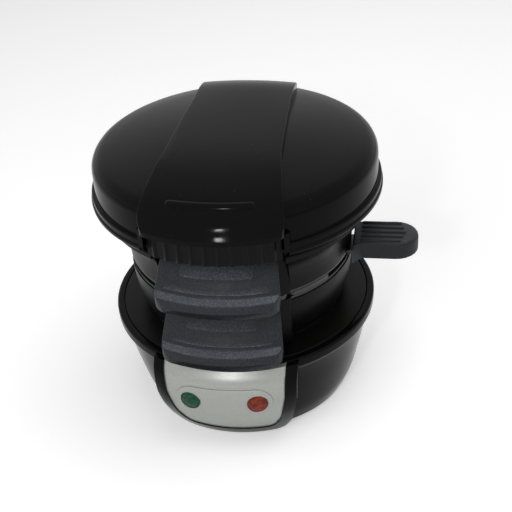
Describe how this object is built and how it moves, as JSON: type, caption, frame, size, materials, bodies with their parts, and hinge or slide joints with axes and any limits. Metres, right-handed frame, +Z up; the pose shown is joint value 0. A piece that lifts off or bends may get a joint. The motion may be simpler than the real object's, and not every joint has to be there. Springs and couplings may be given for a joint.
{
  "type": "breakfast sandwich maker",
  "caption": "Countertop sandwich maker: round base, two stacked cooking rings with a swing-out plate between them, domed lid, all on one rear hinge pin.",
  "frame": {"origin": "on the table, under the centre of the cooking rings", "axes": "+Z up along the axis of the rings, -Y to the front with the handles and the lights, +X to the side with the plate's handle"},
  "size_m": [0.1745, 0.1736, 0.1606],
  "materials": {
    "gloss_black": "glossy injection-moulded black",
    "satin_black": "satin black",
    "slate_grip": "fine-grained slate grey",
    "silver_panel": "satin silver paint",
    "green_lens": "clear green, faceted",
    "red_lens": "clear red-orange, faceted",
    "lamp_glass": "clear",
    "nonstick_plate": "die-cast with dark non-stick coating",
    "nonstick_liner": "drawn sheet with dark non-stick coating",
    "steel": "plain steel",
    "element_steel": "heat-tinted sheath",
    "reflector_sheet": "bright sheet",
    "foot_rubber": "matt black rubber",
    "inner_plastic": "natural phenolic"
  },
  "bodies": {
    "base": {"base_shell": "gloss_black", "base_deck": "satin_black", "bottom_cover": "satin_black", "foot_ring": "foot_rubber", "cover_screws": "steel", "panel_housing": "gloss_black", "control_panel": "silver_panel", "preheat_lens": "green_lens", "power_lens": "red_lens", "preheat_lamp": "lamp_glass", "power_lamp": "lamp_glass", "lamp_bracket": "inner_plastic", "bottom_plate": "nonstick_plate", "bottom_element": "element_steel", "bottom_reflector": "reflector_sheet", "bottom_plate_screws": "steel", "base_thermostat": "inner_plastic", "base_thermal_fuse": "steel", "terminal_block": "inner_plastic", "cord_gland": "foot_rubber", "hinge_bracket": "satin_black", "bracket_screws": "steel", "hinge_pin": "steel", "hinge_caps": "satin_black"},
    "bottom_ring": {"bottom_ring_shell": "satin_black", "bottom_ring_liner": "nonstick_liner", "bottom_ring_handle": "slate_grip", "bottom_handle_screws": "steel"},
    "top_ring": {"top_ring_shell": "satin_black", "top_ring_liner": "nonstick_liner", "top_ring_handle": "slate_grip", "top_handle_screws": "steel", "plate_pivot_pin": "steel"},
    "cooking_plate": {"cooking_plate": "nonstick_plate", "plate_handle": "slate_grip", "plate_rivets": "steel"},
    "lid": {"lid_shell": "gloss_black", "lid_band": "gloss_black", "lid_grip": "satin_black", "lid_liner": "satin_black", "lid_screws": "steel", "top_plate": "nonstick_plate", "top_element": "element_steel", "lid_reflector": "reflector_sheet", "top_plate_screws": "steel", "lid_thermostat": "inner_plastic", "lid_thermal_fuse": "steel", "band_screws": "steel", "lid_hinge_arm": "satin_black", "arm_screws": "steel"}
  },
  "joints": [
    {"name": "bottom_ring_hinge", "type": "hinge", "parent": "base", "child": "bottom_ring", "pos_m": [0, 0.084, 0.085], "axis": [-1, 0, 0], "range_deg": [0, 40]},
    {"name": "top_ring_hinge", "type": "hinge", "parent": "bottom_ring", "child": "top_ring", "pos_m": [0, 0.084, 0.085], "axis": [-1, 0, 0], "range_deg": [0, 40]},
    {"name": "plate_swing", "type": "hinge", "parent": "top_ring", "child": "cooking_plate", "pos_m": [0.027, -0.04929, 0.0885], "axis": [0, 0, -1], "range_deg": [0, 118]},
    {"name": "lid_hinge", "type": "hinge", "parent": "top_ring", "child": "lid", "pos_m": [0, 0.084, 0.085], "axis": [-1, 0, 0], "range_deg": [0, 95]}
  ]
}
